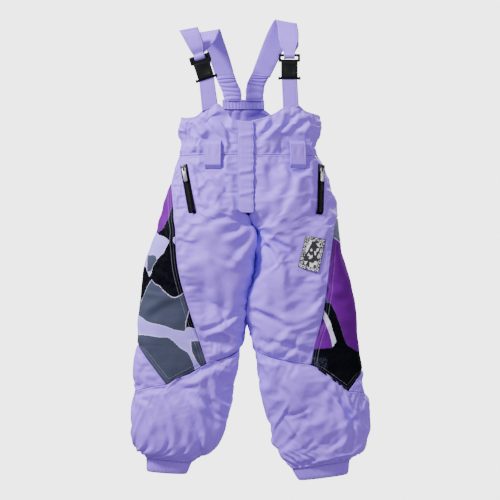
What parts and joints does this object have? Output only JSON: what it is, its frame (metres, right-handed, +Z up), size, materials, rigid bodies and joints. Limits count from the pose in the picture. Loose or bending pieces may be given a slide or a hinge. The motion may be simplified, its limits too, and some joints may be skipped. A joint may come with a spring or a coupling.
{
  "type": "ski bib pants",
  "caption": "Child's padded ski bib pants with buckled shoulder straps, front flap over a zip, side pocket zips, printed side panels and elastic cuffs.",
  "frame": {"origin": "level with the top of the shoulder straps, between them, at mid depth of the garment", "axes": "+Z up the garment, front towards -Y, the wearer's right towards -X"},
  "size_m": [0.4677, 0.1119, 0.9323],
  "materials": {
    "shell": "soft satin nylon",
    "print": "printed nylon",
    "lining": "matt taffeta",
    "elastic": "knitted",
    "zip_tape": "woven tape",
    "zip_teeth": "moulded",
    "zip_metal": "worn dark plate",
    "buckle": "moulded",
    "label": "printed patch"
  },
  "bodies": {
    "torso": {"pocket_zip_right_tape": "zip_tape", "pocket_zip_right_teeth": "zip_teeth", "pocket_bag_right": "lining", "pocket_zip_left_tape": "zip_tape", "pocket_zip_left_teeth": "zip_teeth", "pocket_bag_left": "lining", "bib_front_right": "shell", "bib_front_left": "shell", "hip_front_right": "shell", "hip_front_left": "shell", "hip_print_right": "print", "hip_back_right": "shell", "hip_print_left": "print", "hip_back_left": "shell", "bib_back": "shell", "bib_back_band": "shell", "waist_elastic": "elastic", "lining_torso": "lining", "front_zip_tape": "zip_tape", "front_zip_teeth": "zip_teeth", "belt_loop_right": "shell", "belt_loop_left": "shell", "buckle_socket_right": "buckle", "buckle_socket_left": "buckle", "strap_gather_right": "shell", "strap_elastic_right": "elastic", "strap_lower_right": "shell", "strap_gather_left": "shell", "strap_elastic_left": "elastic", "strap_lower_left": "shell"},
    "leg_right": {"leg_front_right": "shell", "leg_back_right": "shell", "leg_print_right": "print", "leg_lower_right": "shell", "cuff_right": "shell", "cuff_elastic_right": "elastic", "lining_leg_right": "lining"},
    "plug_right": {"buckle_plug_right": "buckle", "strap_right": "shell"},
    "arm_inner_right": {"buckle_arm_inner_right": "buckle"},
    "arm_outer_right": {"buckle_arm_outer_right": "buckle"},
    "leg_left": {"leg_front_left": "shell", "leg_back_left": "shell", "leg_print_left": "print", "leg_lower_left": "shell", "cuff_left": "shell", "cuff_elastic_left": "elastic", "lining_leg_left": "lining", "label_patch": "label"},
    "plug_left": {"buckle_plug_left": "buckle", "strap_left": "shell"},
    "arm_inner_left": {"buckle_arm_inner_left": "buckle"},
    "arm_outer_left": {"buckle_arm_outer_left": "buckle"},
    "front_zip_slider": {"front_zip_slider": "zip_metal"},
    "front_zip_pull": {"front_zip_pull": "zip_metal"},
    "pocket_zip_right_slider": {"pocket_zip_right_slider": "zip_metal"},
    "pocket_zip_right_pull": {"pocket_zip_right_pull": "zip_metal"},
    "pocket_zip_left_slider": {"pocket_zip_left_slider": "zip_metal"},
    "pocket_zip_left_pull": {"pocket_zip_left_pull": "zip_metal"},
    "front_flap": {"front_flap": "shell"}
  },
  "joints": [
    {"name": "hip_right", "type": "hinge", "parent": "torso", "child": "leg_right", "pos_m": [-0.09, 0, -0.42], "axis": [-1, 0, 0], "range_deg": [-15, 35]},
    {"name": "hip_left", "type": "hinge", "parent": "torso", "child": "leg_left", "pos_m": [0.095, 0, -0.42], "axis": [-1, 0, 0], "range_deg": [-15, 35]},
    {"name": "flap_open", "type": "hinge", "parent": "torso", "child": "front_flap", "pos_m": [0.0083, -0.05208, -0.3035], "axis": [0, 0.0585, 0.9983], "range_deg": [0, 150]},
    {"name": "front_zip_slide", "type": "slide", "parent": "torso", "child": "front_zip_slider", "axis": [0, -0.0585, -0.9983], "range_m": [0, 0.162]},
    {"name": "front_zip_pull_swing", "type": "hinge", "parent": "front_zip_slider", "child": "front_zip_pull", "pos_m": [-0.006, -0.04138, -0.22427], "axis": [-1, -0.0025, 0.0001], "range_deg": [0, 4]},
    {"name": "pocket_zip_right_slide", "type": "slide", "parent": "torso", "child": "pocket_zip_right_slider", "axis": [0.1804, -0.1717, -0.9685], "range_m": [0, 0.082]},
    {"name": "pocket_zip_right_pull_swing", "type": "hinge", "parent": "pocket_zip_right_slider", "child": "pocket_zip_right_pull", "pos_m": [-0.13253, -0.03793, -0.30562], "axis": [-0.9499, 0.2251, -0.2168], "range_deg": [0, 120]},
    {"name": "pocket_zip_left_slide", "type": "slide", "parent": "torso", "child": "pocket_zip_left_slider", "axis": [-0.0385, -0.1905, -0.9809], "range_m": [0, 0.082]},
    {"name": "pocket_zip_left_pull_swing", "type": "hinge", "parent": "pocket_zip_left_slider", "child": "pocket_zip_left_pull", "pos_m": [0.14542, -0.02922, -0.30494], "axis": [-0.8739, -0.4696, 0.1255], "range_deg": [0, 120]},
    {"name": "buckle_right_release", "type": "slide", "parent": "torso", "child": "plug_right", "axis": [-0.309, 0, 0.9511], "range_m": [0, 0.022]},
    {"name": "arm_inner_right_squeeze", "type": "hinge", "parent": "plug_right", "child": "arm_inner_right", "pos_m": [-0.0862, -0.04, -0.09129], "axis": [0, 1, 0], "range_deg": [0, 5], "stiffness_Nm_per_rad": 0.05},
    {"name": "arm_outer_right_squeeze", "type": "hinge", "parent": "plug_right", "child": "arm_outer_right", "pos_m": [-0.10769, -0.04, -0.09828], "axis": [0, -1, 0], "range_deg": [0, 5], "stiffness_Nm_per_rad": 0.05},
    {"name": "buckle_left_release", "type": "slide", "parent": "torso", "child": "plug_left", "axis": [0, 0, 1], "range_m": [0, 0.022]},
    {"name": "arm_inner_left_squeeze", "type": "hinge", "parent": "plug_left", "child": "arm_inner_left", "pos_m": [0.0672, -0.04, -0.093], "axis": [0, -1, 0], "range_deg": [0, 5], "stiffness_Nm_per_rad": 0.05},
    {"name": "arm_outer_left_squeeze", "type": "hinge", "parent": "plug_left", "child": "arm_outer_left", "pos_m": [0.0898, -0.04, -0.093], "axis": [0, 1, 0], "range_deg": [0, 5], "stiffness_Nm_per_rad": 0.05}
  ]
}
